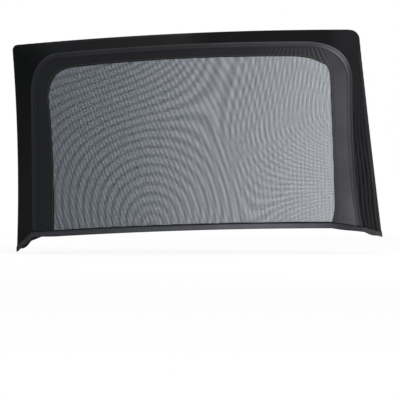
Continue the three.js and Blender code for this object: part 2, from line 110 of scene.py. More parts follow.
edgeFrontTop = (-o["frontReach"] - o["frontFlare"], o["frontHeight"] - o["frontCorner"])
edgeRoofFront = (edgeFrontTop[0] + o["frontCorner"], o["frontHeight"])
edgeRearTop = (o["rearReach"] - o["rearRake"], o["roofHeight"] - o["rearCorner"])
edgeRoofRear = (edgeRearTop[0] - o["rearCorner"], o["roofHeight"])
edgeFrontHem = (-o["frontReach"], hem["height"])
edgeRearHem = (o["rearReach"], rearHemZ - hem["rearDrop"])
frontWaistPoint = (-o["frontReach"] + o["frontWaist"], (edgeFrontHem[1] + edgeFrontTop[1]) / 2)
roofCrest = ((edgeRoofFront[0] + edgeRoofRear[0]) / 2, o["roofHeight"])
edgeFrontSide = bezier(edgeFrontHem, frontWaistPoint, edgeFrontTop)
edgeFrontRound = bezier(edgeFrontTop, (edgeFrontTop[0], o["frontHeight"]), edgeRoofFront)
edgeRoof = bezier(edgeRoofFront, roofCrest, edgeRoofRear)
edgeRearRound = bezier(edgeRoofRear, (edgeRearTop[0], o["roofHeight"]), edgeRearTop)
edgeRearSide = bezier(edgeRearTop, edgeRearHem)

ridgeFrontX = edgeFrontTop[0] + o["frontSlope"] + o["frontWaist"] / 2
ridgeRearX = edgeRearTop[0] - o["rearSlopeTop"]
ridgeFrontHem = (-o["frontReach"] + o["frontSlope"], frontHemZ)
ridgeRearHem = (o["rearReach"] - o["rearSlope"], rearHemZ)
ridgeRoofFrontZ = o["frontHeight"] + o["frontCorner"] / 2 - o["roofSlope"]
ridgeRoofFront = (ridgeFrontX + o["frontRidgeCorner"], ridgeRoofFrontZ)
ridgeFrontTop = (ridgeFrontX, ridgeRoofFront[1] - o["frontRidgeCorner"] - o["frontSlope"] / 2)
ridgeRoofRear = (ridgeRearX - o["rearRidgeCorner"], o["roofHeight"] - o["roofSlopeRear"])
ridgeRearTop = (ridgeRearX, ridgeRoofRear[1] - o["rearRidgeCorner"] + o["rearSlopeTop"])
ridgeRearWaist = (ridgeRearX, (ridgeRearTop[1] + ridgeRearHem[1]) / 2 - o["rearSlope"])

# The wall's five stretches: front side, front corner, roof, rear corner, rear side
stretchSteps = (70, 46, 120, 60, 70)
ridgeStretches = (
    bezier(ridgeFrontHem, ridgeFrontTop),
    bezier(ridgeFrontTop, (ridgeFrontX, ridgeRoofFront[1]), ridgeRoofFront),
    bezier(ridgeRoofFront, ((ridgeRoofFront[0] + ridgeRoofRear[0]) / 2, ridgeRoofRear[1]), ridgeRoofRear),
    bezier(ridgeRoofRear, (ridgeRearX, ridgeRoofRear[1]), ridgeRearTop),
    bezier(ridgeRearTop, ridgeRearWaist, ridgeRearHem),
)
edgeStretches = (
    portion(edgeFrontSide, 0, 0.8),
    joined(portion(edgeFrontSide, 0.8, 1), edgeFrontRound, portion(edgeRoof, 0, 0.14)),
    portion(edgeRoof, 0.14, 0.87),
    joined(portion(edgeRoof, 0.87, 1), edgeRearRound, portion(edgeRearSide, 0, 0.2)),
    portion(edgeRearSide, 0.2, 1),
)


def fieldStretches(grow):
    # the see-through field's three upper sides, grown outwards
    front = ridgeFrontHem[0] + o["frontBand"] - grow
    frontTop = ridgeFrontX + o["frontBandTop"] - grow
    roofFront = ridgeRoofFront[1] - o["roofBand"] + grow
    roofRear = ridgeRoofRear[1] - o["roofBandRear"] + grow
    rear = ridgeRearX - o["rearBand"] + grow
    rearHem = ridgeRearHem[0] - o["rearBandHem"] + grow
    dipZ = roofRear - o["rearFieldDip"]
    dipStart = rear - o["rearFieldDipLength"]
    waistZ = (ridgeRearTop[1] + section["straightHeight"]) / 2
    tuck = o["rearFieldTuck"]
    frontBottom = (front, hemTop(cabinHem, front) - hem["lap"])
    rearBottom = (rearHem, hemTop(cabinHem, rearHem) - hem["lap"])
    frontShoulder = (frontTop, roofFront - o["frontFieldCorner"])
    roofStart = (frontTop + o["frontFieldCorner"], roofFront)
    dip = (rear - o["rearFieldRound"], dipZ)
    rearShoulder = (rear, dipZ - o["rearFieldCorner"])
    rearWaist = (rearHem + tuck, section["straightHeight"] + hem["crown"])
    return (
        bezier(frontBottom, (front, waistZ), frontShoulder),
        bezier(frontShoulder, (frontTop, roofFront), roofStart),
        joined(
            bezier(roofStart, ((frontTop + dipStart) / 2, roofRear), (dipStart, roofRear)),
            bezier((dipStart, roofRear), ((dipStart + rear) / 2, roofRear), dip),
        ),
        bezier(dip, (rear, dipZ), rearShoulder),
        joined(
            bezier(rearShoulder, (rear + tuck, waistZ), rearWaist),
            bezier(rearWaist, (rearHem + tuck, section["straightHeight"]), rearBottom),
        ),
    )


def sampled(stretches, steps=stretchSteps):
    return joined(*[resampled(path, count + 1) for path, count in zip(stretches, steps)])


# The two faces and their hems

def aboveStraight(z):
    return np.maximum(0, np.asarray(z, float) - section["straightHeight"])


def depthAt(z):
    taper = (section["roofDepth"] - section["hemDepth"]) / (o["roofHeight"] - section["straightHeight"])
    return section["hemDepth"] + taper * aboveStraight(z)


def lean(z):
    return -(aboveStraight(z) ** 2) / (2 * section["leanRadius"])


def cabinY(z):
    return lean(z) - depthAt(z) / 2


def streetY(z):
    return lean(z) + depthAt(z) / 2


def hemTop(path, x):
    return np.interp(x, path[:, 0], path[:, 1])


crown = (crownX, crownZ)
cabinHem = joined(
    bezier(ridgeFrontHem, ((ridgeFrontHem[0] + crownX) / 2, crownZ), crown),
    bezier(crown, ridgeRearHem),
)


def streetSeam(ridge, edge):
    across = np.subtract(edge, ridge)
    width = np.linalg.norm(across)
    return np.array(ridge) + across * (width - section["edgeRadius"]) / width


def climb(start, end):
    half = (start[0] + end[0]) / 2
    return bezier(start, (half, start[1]), (half, end[1]), end)


streetFront = streetSeam(ridgeFrontHem, edgeFrontHem)
streetRear = streetSeam(ridgeRearHem, edgeRearHem)
climbFrontX = streetFront[0] + hem["earLength"]
climbRearX = streetRear[0] - hem["earLength"]
climbFront = (climbFrontX, hemTop(cabinHem, climbFrontX))
climbRear = (climbRearX, hemTop(cabinHem, climbRearX))
streetHem = joined(
    climb(streetFront, climbFront),
    bezier(climbFront, ((climbFront[0] + crownX) / 2, crownZ), crown),
    bezier(crown, climbRear),
    climb(climbRear, streetRear),
)

# The CAD part stands over its origin, so the drawing moves to where its boxes say.
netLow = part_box("cabin_net")[0]
hemLow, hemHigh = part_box("hem_casing")
netLap = 10
drawnNetX = (ridgeFrontX + o["frontBandTop"] - netLap) * mm
shift = np.array([netLow[0] - drawnNetX, (hemLow[1] + hemHigh[1]) / 2, 0])


def placed(points):
    # millimetres of the drawing to metres of the frame
    return np.asarray(points, float) * mm + shift


def toSpace(flat, y):
    return np.stack([flat[..., 0], y, flat[..., 1]], axis=-1)


# Meshes

def newMesh(name, points, faces, smooth=True):
    mesh = bpy.data.meshes.new(name)
    mesh.from_pydata([tuple(p) for p in points], [], [tuple(f) for f in faces])
    mesh.validate()
    mesh.update()
    piece = bpy.data.objects.new(name, mesh)
    bpy.context.scene.collection.objects.link(piece)
    if smooth:
        mesh.polygons.foreach_set("use_smooth", [True] * len(mesh.polygons))
    return piece


def gridFaces(rows, across, ringRows=False, ringAcross=False):
    i = np.arange(rows if ringRows else rows - 1)
    j = np.arange(across if ringAcross else across - 1)
    ii, jj = np.meshgrid(i, j, indexing="ij")
    nextI = (ii + 1) % rows
    nextJ = (jj + 1) % across
    corners = ((ii, jj), (nextI, jj), (nextI, nextJ), (ii, nextJ))
    return np.stack([row * across + column for row, column in corners], axis=-1).reshape(-1, 4)


def outward(points, faces):
    # turns every face round if the closed mesh is inside out
    corners = points[faces]
    first, second, third, fourth = (corners[:, k] for k in range(4))
    volume = np.einsum("ij,ij->i", first, np.cross(second, third)).sum()
    volume += np.einsum("ij,ij->i", first, np.cross(third, fourth)).sum()
    return faces[:, ::-1] if volume < 0 else faces


def loft(name, rings, closed=False):
    # rings: rows of points around a closed section, with an even count where the ends are capped
    rows, around = rings.shape[:2]
    points = rings.reshape(-1, 3)
    faces = gridFaces(rows, around, ringRows=closed, ringAcross=True)
    if not closed:
        half = around // 2
        caps = []
        for row in (0, rows - 1):
            for j in range(half - 1):
                a, b = row * around + j, row * around + j + 1
                c, d = row * around + around - 2 - j, row * around + around - 1 - j
                caps.append([a, b, c, d] if row else [d, c, b, a])
        caps = np.array(caps)
        if capsDisagree(faces, caps):
            caps = caps[:, ::-1]
        faces = np.concatenate([faces, caps])
    faces = outward(points, faces)
    return newMesh(name, points, faces.tolist())


def capsDisagree(faces, caps):
    # a shared edge must run opposite ways in the side face and in the cap
    sideEdges = set()
    for a, b, c, d in faces.tolist():
        sideEdges.update([(a, b), (b, c), (c, d), (d, a)])
    a, b, c, d = caps[0].tolist()
    return any(edge in sideEdges for edge in ((a, b), (b, c), (c, d), (d, a)))


roundSteps = 3  # facets around a cloth's cut edge


def wrapped(grid):
    # a grid's columns over the top of a cloth, round its far edge, back underneath and round its near edge
    far = np.repeat(grid[:, -1:], roundSteps - 1, axis=1)
    near = np.repeat(grid[:, :1], roundSteps - 1, axis=1)
    return np.concatenate([grid, far, grid[:, ::-1], near], axis=1)


def clothLoft(name, outer, normals, thickness):
    # a cloth between an outer grid and the same grid moved in, with rounded edges
    half = thickness / 2
    farWay = outer[:, -1] - outer[:, -2]
    nearWay = outer[:, 0] - outer[:, 1]
    farWay = farWay / np.linalg.norm(farWay, axis=1, keepdims=True)
    nearWay = nearWay / np.linalg.norm(nearWay, axis=1, keepdims=True)
    columns = outer.shape[1]
    rise = np.ones((1, 2 * columns + 2 * (roundSteps - 1), 1))
    reach = np.zeros((len(outer), rise.shape[1], 3))
    rise[0, columns + roundSteps - 1:2 * columns + roundSteps - 1] = -1
    for k in range(1, roundSteps):
        angle = math.pi * k / roundSteps
        farColumn = columns + k - 1
        nearColumn = 2 * columns + roundSteps - 2 + k
        rise[0, farColumn] = math.cos(angle)
        rise[0, nearColumn] = -math.cos(angle)
        reach[:, farColumn] = farWay * math.sin(angle)
        reach[:, nearColumn] = nearWay * math.sin(angle)
    middle = wrapped(outer - normals * half)
    return loft(name, middle + (wrapped(normals) * rise + reach) * half)


def gridNormals(grid, towards):
    # normals of a grid of points, all turned to the side that a reference vector shows
    alongRows = np.gradient(grid, axis=0)
    across = np.gradient(grid, axis=1)
    normals = np.cross(alongRows, across)
    normals /= np.linalg.norm(normals, axis=-1, keepdims=True)
    side = np.einsum("ijk,ijk->ij", normals, np.broadcast_to(towards, normals.shape))
    return normals * np.sign(side)[..., None]


# Materials

def linear(hexColour):
    channels = [int(hexColour[k:k + 2], 16) / 255 for k in (1, 3, 5)]
    return [c / 12.92 if c <= 0.04045 else ((c + 0.055) / 1.055) ** 2.4 for c in channels] + [1]


def addNode(tree, kind, settings=None, links=None):
    node = tree.nodes.new(kind)
    for name, value in (settings or {}).items():
        if isinstance(name, str) and hasattr(node, name):
            setattr(node, name, value)
        else:
            node.inputs[name].default_value = value
    for name, source in (links or {}).items():
        tree.links.new(source, node.inputs[name])
    return node


def newMaterial(name):
    material = bpy.data.materials.new(name)
    material.use_nodes = True
    material.node_tree.nodes.clear()
    return material, material.node_tree


def setStops(ramp, stops):
    elements = ramp.color_ramp.elements
    while len(elements) < len(stops):
        elements.new(0.5)
    for element, (position, colour) in zip(elements, stops):
        element.position = position
        element.color = linear(colour)


knit = {  # close-knit polyester: matt loops with a faint sheen from the round filaments
    "loop": 9.42,  # real loops are 0.9 mm; drawn as coarse as they need to be to show at all
    "relief": 0.4, "cloud": 71.43,  # the cloud is unevenly taken dye, in patches as wide as a hand
    # the colour ramp over these places is painted light: the cloth is drawn paler towards the rear
    "frontX": -480, "middleX": -48, "rearX": 480,
    "front": "#121417", "middle": "#161619", "rear": "#48474b",
    "roughness": 0.85,
}
waveBands = 20  # a Wave texture of scale 1 turns through 20 radians in a metre


def knitMaterial(name, front, middle, rear, sheen=0.03, shine=0.16):
    material, tree = newMaterial(name)
    place = addNode(tree, "ShaderNodeTexCoord").outputs["Object"]
    axes = addNode(tree, "ShaderNodeSeparateXYZ", links={0: place})
    span = addNode(tree, "ShaderNodeMapRange", {
        "From Min": knit["frontX"] * mm, "From Max": knit["rearX"] * mm,
    }, {"Value": axes.outputs["X"]})
    # the front-to-rear colour ramp is painted light, as if the cloth were lit from the rear
    tone = addNode(tree, "ShaderNodeValToRGB", links={0: span.outputs[0]})
    middleShare = (knit["middleX"] - knit["frontX"]) / (knit["rearX"] - knit["frontX"])
    setStops(tone, [(0, front), (middleShare, middle), (1, rear)])
    cloudy = addNode(tree, "ShaderNodeTexNoise", {
        "Scale": 1 / (knit["cloud"] * mm), "Detail": 4.0, "Roughness": 0.55,
    }, {"Vector": place})
    cloud = addNode(tree, "ShaderNodeMapRange", {
        "From Min": 0.3, "From Max": 0.7, "To Min": 0.88, "To Max": 1.12,
    }, {"Value": cloudy.outputs["Fac"]})
    waveScale = 2 * math.pi / (waveBands * knit["loop"] * mm)
    wales, courses = (addNode(tree, "ShaderNodeTexWave", {
        "bands_direction": way, "Scale": waveScale, "Distortion": 0.6, "Detail": 1.0,
    }, {"Vector": place}) for way in ("X", "Z"))
    loops = addNode(tree, "ShaderNodeMath", {"operation": "MULTIPLY"}, {
        0: wales.outputs["Fac"], 1: courses.outputs["Fac"],
    })
    shade = addNode(tree, "ShaderNodeMapRange", {
        "To Min": 0.95, "To Max": 1.05,
    }, {"Value": loops.outputs[0]})
    own = addNode(tree, "ShaderNodeAttribute", {"attribute_name": "tone"})
    clouded = addNode(tree, "ShaderNodeMath", {"operation": "MULTIPLY"}, {
        0: cloud.outputs[0], 1: own.outputs["Fac"],
    })
    both = addNode(tree, "ShaderNodeMath", {"operation": "MULTIPLY"}, {
        0: clouded.outputs[0], 1: shade.outputs[0],
    })
    toned = addNode(tree, "ShaderNodeVectorMath", {"operation": "SCALE"}, {
        0: tone.outputs["Color"], "Scale": both.outputs[0],
    })
    relief = addNode(tree, "ShaderNodeBump", {
        "Strength": 0.15, "Distance": knit["relief"] * mm,
    }, {"Height": loops.outputs[0]})
    shader = addNode(tree, "ShaderNodeBsdfPrincipled", {
        "Roughness": knit["roughness"], "Sheen Weight": sheen, "Sheen Roughness": 0.5,
        "Specular IOR Level": shine,
    }, {"Base Color": toned.outputs[0], "Normal": relief.outputs[0]})
    addNode(tree, "ShaderNodeOutputMaterial", links={"Surface": shader.outputs[0]})
    return material


filament = {  # spun or textured filament: matt, a little lighter where the fibres stand up
    "fleck": 1.111,  # real fibres are 0.02 mm thick; the flecks are drawn as coarse as they need to be
    # frontX and rearX bound a colour ramp that is painted light, paler towards the rear
    "frontX": -400, "rearX": 360, "roughness": 0.7, "shine": 0.35,
}


def threadMaterial(name, front, rear, sheen=0.0):
    material, tree = newMaterial(name)
    place = addNode(tree, "ShaderNodeTexCoord").outputs["Object"]
    axes = addNode(tree, "ShaderNodeSeparateXYZ", links={0: place})
    span = addNode(tree, "ShaderNodeMapRange", {
        "From Min": filament["frontX"] * mm, "From Max": filament["rearX"] * mm,
    }, {"Value": axes.outputs["X"]})
    # the front-to-rear colour ramp is painted light, as if the thread were lit from the rear
    tone = addNode(tree, "ShaderNodeValToRGB", links={0: span.outputs[0]})
    setStops(tone, [(0, front), (1, rear)])
    flecks = addNode(tree, "ShaderNodeTexNoise", {
        "Scale": 1 / (filament["fleck"] * mm), "Detail": 2.0,
    }, {"Vector": place})
    amount = addNode(tree, "ShaderNodeMapRange", {
        "To Min": 0.75, "To Max": 1.25,
    }, {"Value": flecks.outputs["Fac"]})
    toned = addNode(tree, "ShaderNodeVectorMath", {"operation": "SCALE"}, {
        0: tone.outputs["Color"], "Scale": amount.outputs[0],
    })
    shader = addNode(tree, "ShaderNodeBsdfPrincipled", {
        "Roughness": filament["roughness"], "Specular IOR Level": filament["shine"], "Sheen Weight": sheen,
    }, {"Base Color": toned.outputs[0]})
    addNode(tree, "ShaderNodeOutputMaterial", links={"Surface": shader.outputs[0]})
    return material


# warp-knit polyester, heat-set: charcoal and matt, paler towards the rear as painted light from that side
bandCloth = knitMaterial("closeKnitPolyester", knit["front"], knit["middle"], knit["rear"])
# the same knit dyed nearly black, which gives back very little; it too is paler towards the rear as painted
# light
wallCloth = knitMaterial("closeKnitPolyesterBlack", "#07090a", "#100f10", "#1b1a1d", sheen=0.02, shine=0.06)
# woven tapes: flatter and tighter than the knit, so they catch a little more at a low angle
tapeCloth = knitMaterial("wovenPolyesterTape", "#18191c", "#232326", "#3a393d", sheen=0.06)
hemCloth = knitMaterial("foldedHemTape", "#1c1e21", "#3a3b3f", "#3a393d", sheen=0.06)
# textured filament, knitted open: matt and slate grey
netThread = threadMaterial("texturedPolyesterFilament", "#2f3942", "#465261")
# spun thread: short fibres stand up from it and soften its edge
sewingThread = threadMaterial("spunPolyesterThread", "#303033", "#4a494d", sheen=0.2)
# polyester braided over rubber: dull and nearly black
elasticBraid = threadMaterial("braidedElastic", "#151516", "#1c1c1e")
print("materials ready")


def applied(piece, tree, values):
    # runs a tree on a piece and keeps the plain mesh
    modifier = piece.modifiers.new(tree.name, "NODES")
    modifier.node_group = tree
    inputs = [item for item in tree.interface.items_tree if item.in_out == "INPUT"]
    sockets = {item.name: item.identifier for item in inputs}
    for name, value in values.items():
        modifier[sockets[name]] = value
    evaluated = piece.evaluated_get(bpy.context.evaluated_depsgraph_get())
    mesh = bpy.data.meshes.new_from_object(evaluated)
    piece.modifiers.remove(modifier)
    piece.data = mesh
    return piece


# Cloth pieces: each is a grid of points on its outer side, given a thickness

def alongWall(distance):
    # ridge and edge points, with both ends moved along the wall by a distance; up is positive
    ridge = sampled(ridgeStretches)
    edge = sampled(edgeStretches)
    for path in (ridge, edge):
        for end, after in ((0, 1), (-1, -2)):
            way = path[after] - path[end]
            path[end] += way / np.linalg.norm(way) * distance
    return ridge, edge


def acrossWall(ridge, edge):
    across = edge - ridge
    width = np.linalg.norm(across, axis=1)
    return width, across / width[:, None]


def wallRows(ridge, edge, outside, slopeCount, arcCount):
    # from the ridge over the slope and around the rolled edge to the street face
    width, out = acrossWall(ridge, edge)
    radius = section["edgeRadius"]
    seam = width - radius
    ridgeY = cabinY(ridge[:, 1])
    centreY = streetY((ridge + out * seam[:, None])[:, 1]) - radius
    reach = np.hypot(seam, centreY - ridgeY)
    slope = np.arctan2(centreY - ridgeY, seam) - np.arcsin(radius / reach)
    flatLength = np.sqrt(reach ** 2 - radius ** 2)
    along = np.linspace(0, 1, slopeCount + 1)[None, :-1] * flatLength[:, None]
    flatAcross = np.cos(slope)[:, None] * along + (np.sin(slope) * outside)[:, None]
    flatY = ridgeY[:, None] + np.sin(slope)[:, None] * along - (np.cos(slope) * outside)[:, None]
    turn = np.linspace(0, 1, arcCount + 1)[None, :]
    angle = (slope - math.pi / 2)[:, None] * (1 - turn) + math.pi / 2 * turn
    arcAcross = seam[:, None] + np.cos(angle) * (radius + outside)
    arcY = centreY[:, None] + np.sin(angle) * (radius + outside)
    acrossAll = np.concatenate([flatAcross, arcAcross], axis=1)
    y = np.concatenate([flatY, arcY], axis=1)
    flat = ridge[:, None] + out[:, None] * acrossAll[..., None]
    return toSpace(flat, y)


def lowered(path, hemPath, offset, rows=9):
    # the first and last rows come down to the hem, and the rows above them are spaced out again
    path = path.copy()
    for order in (np.arange(rows), len(path) - 1 - np.arange(rows)):
        end = order[0]
        target = hemTop(hemPath, path[end, 0]) + offset
        drop = target - path[end, 1]
        fade = 1 - np.arange(rows) / rows
        path[order, 1] += drop * fade
    return path


def softened(x):
    x = np.clip(x, 0, 1)
    return x * x * (3 - 2 * x)


def bump(distance, width):
    return np.exp(-(distance / width) ** 2)


folds = {  # shallow tension folds, in the cloth where it is drawn round a corner; the rib tone is painted light and shade that follows the ribs
    "rib": 11.0, "ribHeight": 0.5, "ribShading": 0.6, "ribFrom": 130, "ribTo": 350, "ribAbove": 440,
    "fanX": 262, "fanZ": 520, "fan": 118.0,
    "puff": 1.1, "puffFrom": 60,
    "cornerFold": 0.6, "foldLength": 23, "fineFoldLength": 13.7, "deepest": 0.25,
    "gather": 9.0, "fineGather": 5.3, "gatherHeight": 0.35,
}


def ribShare(x, z):
    # the fan of fine ribs over the rear end of the roof band
    span = softened((x - folds["ribFrom"]) / 60) * softened((folds["ribTo"] - x) / 40)
    return span * softened((z - folds["ribAbove"]) / 40)


def ribWave(x, z):
    fan = (x - folds["fanX"]) * np.exp((z - folds["fanZ"]) / folds["fan"])
    return np.sin(2 * math.pi * fan / folds["rib"])


def setTone(piece, values):
    attribute = piece.data.attributes.new("tone", "FLOAT", "POINT")
    attribute.data.foreach_set("value", np.asarray(values, np.float32).ravel())


def dress(piece, material, node):
    piece.data.materials.clear()
    piece.data.materials.append(material)
    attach(piece, "root")
    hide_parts(node)
    print(piece.name, len(piece.data.polygons), "faces")
    return piece


bandShade = {  # painted light and shade on the border's cloth, matched to the photograph, as shares of its colour
    "roofFrom": 440, "roofFade": 60, "rearFrom": 300,
    "foldX": -75, "foldWidth": 35, "fold": 0.22,
    "gatherFrom": -75, "gatherLength": 200, "gather": 0.41,
    "cornerFrom": 260, "cornerLength": 90, "corner": 0.21,
    # down the rear side: painted shade towards the field's edge and painted light low down by the ridge
    "paintedEdgeShade": 0.62, "rearMiddle": 0.92, "lowOuter": 0.75, "lowFrom": 230, "lowFade": 150,
}


def bandPaintedShading(x, z, share):
    # share goes from 0 at the ridge to 1 at the see-through field
    # painted light and shade: under the roof paler about foldX, darker towards the rear where the ribs gather,
    # and paler again at the rear corner
    roofPart = softened((z - bandShade["roofFrom"]) / bandShade["roofFade"])
    fold = bandShade["fold"] * bump(x - bandShade["foldX"], bandShade["foldWidth"])
    gather = bandShade["gather"] * softened((x - bandShade["gatherFrom"]) / bandShade["gatherLength"])
    corner = bandShade["corner"] * softened((x - bandShade["cornerFrom"]) / bandShade["cornerLength"])
    roof = 1 + (fold - gather + corner) * roofPart
    rearPart = softened((x - bandShade["rearFrom"]) / 40) * (1 - roofPart)
    across = np.interp(share, (0, 0.78, 1), (1, bandShade["rearMiddle"], bandShade["paintedEdgeShade"]))
    lowPart = softened((bandShade["lowFrom"] - z) / bandShade["lowFade"])
    low = lowPart * bandShade["lowOuter"] * np.clip(0.8 - share, 0, 1)
    rear = 1 + (across + low - 1) * rearPart
    # painted light and shade: the ribs' crests drawn paler and their hollows darker
    ribs = 1 + folds["ribShading"] * ribShare(x, z) * ribWave(x, z)
    return roof * rear * ribs


def makeBand(name, node, outerPath, innerPath, face):
    # the close-knit border between the ridge or seam and the see-through field
    steps = 26
    faceY, inward, hemPath = face
    share = np.linspace(0, 1, steps)[None, :, None]
    flat = outerPath[:, None] * (1 - share) + innerPath[:, None] * share
    middle = np.sin(np.linspace(0, math.pi, steps))[None, :]
    x, z = flat[..., 0], flat[..., 1]
    ribs = ribShare(x, z) * ribWave(x, z) * folds["ribHeight"] * middle
    aboveHem = softened((z - hemTop(hemPath, x)) / folds["puffFrom"])
    puff = folds["puff"] * middle ** 0.8 * aboveHem
    y = faceY(z) - inward * (puff + ribs)
    grid = toSpace(flat, y)
    normals = gridNormals(grid, [0, -inward, 0])
    piece = clothLoft(name, placed(grid), normals, section["cloth"] * mm)
    tone = bandPaintedShading(x, z, np.broadcast_to(share[..., 0], x.shape))
    setTone(piece, wrapped(tone))
    return dress(piece, bandCloth, node)


# each face: its depth at a height, the way to the inside, and its hem's upper edge
cabinFace = (cabinY, 1, cabinHem)
streetFace = (streetY, -1, streetHem)
panelGap = section["cloth"] + section["clearance"]
lowRidge, lowEdge = alongWall(-hem["lap"])
wallWidth, wallOut = acrossWall(lowRidge, lowEdge)
fieldEdge = sampled(fieldStretches(0))
# seen from the cabin, the farther opening looks smaller, so it is drawn a little wider
streetFieldEdge = sampled(fieldStretches(o["streetFieldWider"]))
cabinBand = makeBand(
    "cabinBand", "cabin_band",
    lowered(lowRidge - wallOut * panelGap, cabinHem, -hem["lap"]),
    lowered(fieldEdge, cabinHem, -hem["lap"]),
    cabinFace,
)
seamInset = wallWidth - section["edgeRadius"] - section["clearance"]
streetBand = makeBand(
    "streetBand", "street_band",
    lowered(lowRidge + wallOut * seamInset[:, None], streetHem, -hem["lap"]),
    lowered(streetFieldEdge, streetHem, -hem["lap"]),
    streetFace,
)


wallShade = {  # painted light and shade on the wall's cloth, matched to the photograph, as shares of its colour
    "roofFrom": 500, "roofFade": 30, "rearFrom": 340, "rearFade": 60,
    "roofFront": 2.6, "roofInner": 0.35, "roofRear": -0.5,
    "rearSlope": -0.2, "rearEdgeHighlight": 1.6,
    "reflectionStreaks": 0.9, "streaksTop": 480, "streaksFade": 250, "darkest": 0.1,
    "wideStreaks": 7.3, "fineStreaks": 12.1,  # how many of the painted reflection streaks fit across the slope
}


def wallPaintedShading(x, z, across, length):
    # across goes from 0 at the ridge to 1 at the street side
    shade = wallShade
    # painted light and shade: paler on the front of the roof and on the rolled edge as painted highlights,
    # darker on the rear of the roof and down the rear slope as painted shade, and pale streaks down the rear
    # side as painted reflections
    roofPart = softened((z - shade["roofFrom"]) / shade["roofFade"])
    edge = softened((across - 0.5) / 0.2)
    front = roofPart * softened((x + 440) / 60) * softened(-x / 40)
    rear = roofPart * softened((x - 5) / 30) * softened((370 - x) / 40)
    side = softened((x - shade["rearFrom"]) / shade["rearFade"]) * (1 - roofPart)
    wide = np.sin(2 * math.pi * (shade["wideStreaks"] * across + 0.2 * np.sin(length / 37)))
    fine = np.sin(2 * math.pi * (shade["fineStreaks"] * across + 0.3 * np.sin(length / 23)) + 1.3)
    reflectionStreaks = shade["reflectionStreaks"] * np.clip(wide + 0.8 * fine, -0.6, None)
    reflectionStreaks = reflectionStreaks * softened((shade["streaksTop"] - z) / shade["streaksFade"])
    frontTone = shade["roofFront"] * front * (shade["roofInner"] + (1 - shade["roofInner"]) * edge)
    sideTone = side * (shade["rearSlope"] + shade["rearEdgeHighlight"] * edge + reflectionStreaks)
    return np.maximum(shade["darkest"], 1 + frontTone + shade["roofRear"] * rear + sideTone)


def makeWall():
    slopeCount, arcCount = 26, 14
    middleOfShade = np.array([-40, 0, 300])
    rows = wallRows(lowRidge, lowEdge, 0.0, slopeCount, arcCount)
    normals = gridNormals(rows, [0, -1, 0])
    outwardShare = np.einsum("ijk,ijk->ij", normals, rows - middleOfShade)
    normals *= np.sign(outwardShare)[..., None]
    # shallow folds run across the slope where the cloth turns a corner
    station = np.linspace(0, 1, len(rows))[:, None]
    across = np.linspace(0, 1, rows.shape[1])[None, :]
    length = lengthAlong(lowEdge)[:, None]
    corner = bump(station - 0.78, 0.06) + 0.7 * bump(station - 0.27, 0.05) + 0.12
    wave = np.sin(2 * math.pi * (length / folds["foldLength"] + 0.9 * across))
    wave = wave + 0.5 * np.sin(2 * math.pi * (length / folds["fineFoldLength"] + 1.7 * across))
    middle = np.sin(math.pi * across)
    height = folds["cornerFold"] * corner * wave * middle ** 1.2
    deepest = folds["deepest"]
    rows = rows + normals * ((np.minimum(height, deepest) - deepest) * middle)[..., None]
    piece = clothLoft("sideWall", placed(rows), normals, section["cloth"] * mm)
    setTone(piece, wrapped(wallPaintedShading(rows[..., 0], rows[..., 2], across, length)))
    return dress(piece, wallCloth, "side_wall")


sideWall = makeWall()


def trimLoft(name, node, profile, seam, face, toneAt):
    # a tape along the wall: its closed profile gives distances across a seam and heights above the cloth
    ridge, edge = alongWall(section["clearance"])
    width, out = acrossWall(ridge, edge)
    faceY, inward, hemPath = face
    rings, tones = [], []
    for across, height in profile:
        flat = ridge + out * (seam(width) + across)[:, None]
        if across < 0:
            flat = lowered(flat, hemPath, section["clearance"])
        y = faceY(flat[:, 1]) - inward * height
        rings.append(toSpace(flat, y))
        tones.append(toneAt(flat[:, 0], flat[:, 1], across))
    piece = loft(name, placed(np.stack(rings, axis=1)))
    setTone(piece, np.stack(tones, axis=1))
    return dress(piece, tapeCloth, node)


welt = {"width": 13, "height": 2.6}
binding = {"width": 12, "overlap": 2}  # the overlap is past the seam, on the rolled edge


def weltProfile():
    # two cords in one folded tape; the lower side follows the cloth
    cordRadius = welt["height"] - section["cloth"]
    base = section["clearance"]
    cordSteps = 8
    top = []
    for centre in (-welt["width"] + cordRadius, -cordRadius):
        for k in range(cordSteps + 1):
            angle = math.pi * k / cordSteps
            rise = section["cloth"] + cordRadius * math.sin(angle)
            top.append((centre - cordRadius * math.cos(angle), base + rise))
    bottom = [(across, base) for across, _ in reversed(top)]
    return top + bottom


def tapeProfile(start, end):
    # a flat tape, a hair fuller in the middle
    base, thickness = section["clearance"], section["cloth"]
    count = 9
    spots = np.linspace(start, end, count)
    rise = 0.15 * np.sin(np.linspace(0, math.pi, count))
    top = [(a, base + thickness + r) for a, r in zip(spots, rise)]
    bottom = [(a, base) for a in spots[::-1]]
    return top + bottom


weltShade = {  # painted light and shade across the welt, matched to the photograph: inner cord, groove, outer cord
    "spots": (-10, -6.5, -3), "roof": (1.05, 0.8, 1.85), "rear": (1.25, 0.6, 0.85), "corner": (2.2, 0.5, 1.5),
    "roofFrom": 470, "roofFade": 50, "rearFrom": 300, "cornerX": 365, "cornerZ": 512,
}


def weltPaintedShading(x, z, across):
    shade = weltShade
    # the cord that faces the light is painted paler and the groove between the cords darker, with a painted
    # highlight at the rear top corner
    roofPart = softened((z - shade["roofFrom"]) / shade["roofFade"])
    rearPart = softened((x - shade["rearFrom"]) / 40) * (1 - roofPart)
    roof, rear, corner = (
        np.interp(across, shade["spots"], shade[zone]) for zone in ("roof", "rear", "corner")
    )
    cornerPart = bump(x - shade["cornerX"], 42) * bump(z - shade["cornerZ"], 38)
    return 1 + (roof - 1) * roofPart + (rear - 1) * rearPart + corner * cornerPart


def evenTone(x, z, across):
    return np.ones(len(x))


ridgeWelt = trimLoft(
    "ridgeWelt", "ridge_welt", weltProfile(), lambda width: 0 * width, cabinFace, weltPaintedShading,
)
seamBinding = trimLoft(
    "seamBinding", "seam_binding",
    tapeProfile(binding["overlap"] - binding["width"], binding["overlap"]),
    lambda width: width - section["edgeRadius"], streetFace, evenTone,
)


# The hem: a folded channel around the mouth

